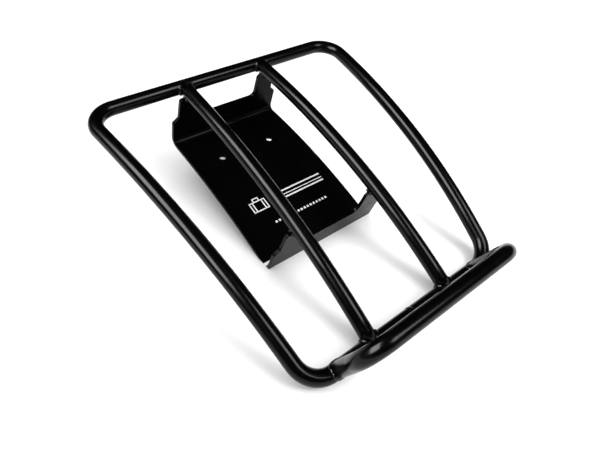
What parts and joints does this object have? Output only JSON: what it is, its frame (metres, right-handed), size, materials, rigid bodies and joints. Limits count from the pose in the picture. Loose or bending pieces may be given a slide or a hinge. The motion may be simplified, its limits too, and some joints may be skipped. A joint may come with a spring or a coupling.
{
  "type": "luggage rack",
  "caption": "Arched, tapered tube rack with inner bars, a raised stop hoop and a folded sheet plate with fixing holes, for a rear mudguard.",
  "frame": {"origin": "midway between the two fixing holes, on the underside of the mounting plate", "axes": "+Z along the fixing bolts, up through the plate towards the tubes; +Y along the rack towards its wide end; +X across the rack; the stop hoop is at the -Y end"},
  "size_m": [0.2744, 0.3039, 0.0911],
  "materials": {
    "tube_coat": "gloss",
    "plate_coat": "gloss",
    "weld_coat": "gloss"
  },
  "bodies": {
    "root": {"outer_loop_tube": "tube_coat", "inner_bar_left": "tube_coat", "inner_bar_right": "tube_coat", "stop_hoop": "tube_coat", "mounting_plate": "plate_coat", "loop_butt_weld": "weld_coat", "weld_bar_left_wide": "weld_coat", "weld_bar_left_stop": "weld_coat", "weld_bar_right_wide": "weld_coat", "weld_bar_right_stop": "weld_coat", "weld_hoop_left": "weld_coat", "weld_hoop_right": "weld_coat", "weld_ear_left_wide": "weld_coat", "weld_ear_left_stop": "weld_coat", "weld_ear_right_wide": "weld_coat", "weld_ear_right_stop": "weld_coat"}
  },
  "joints": []
}
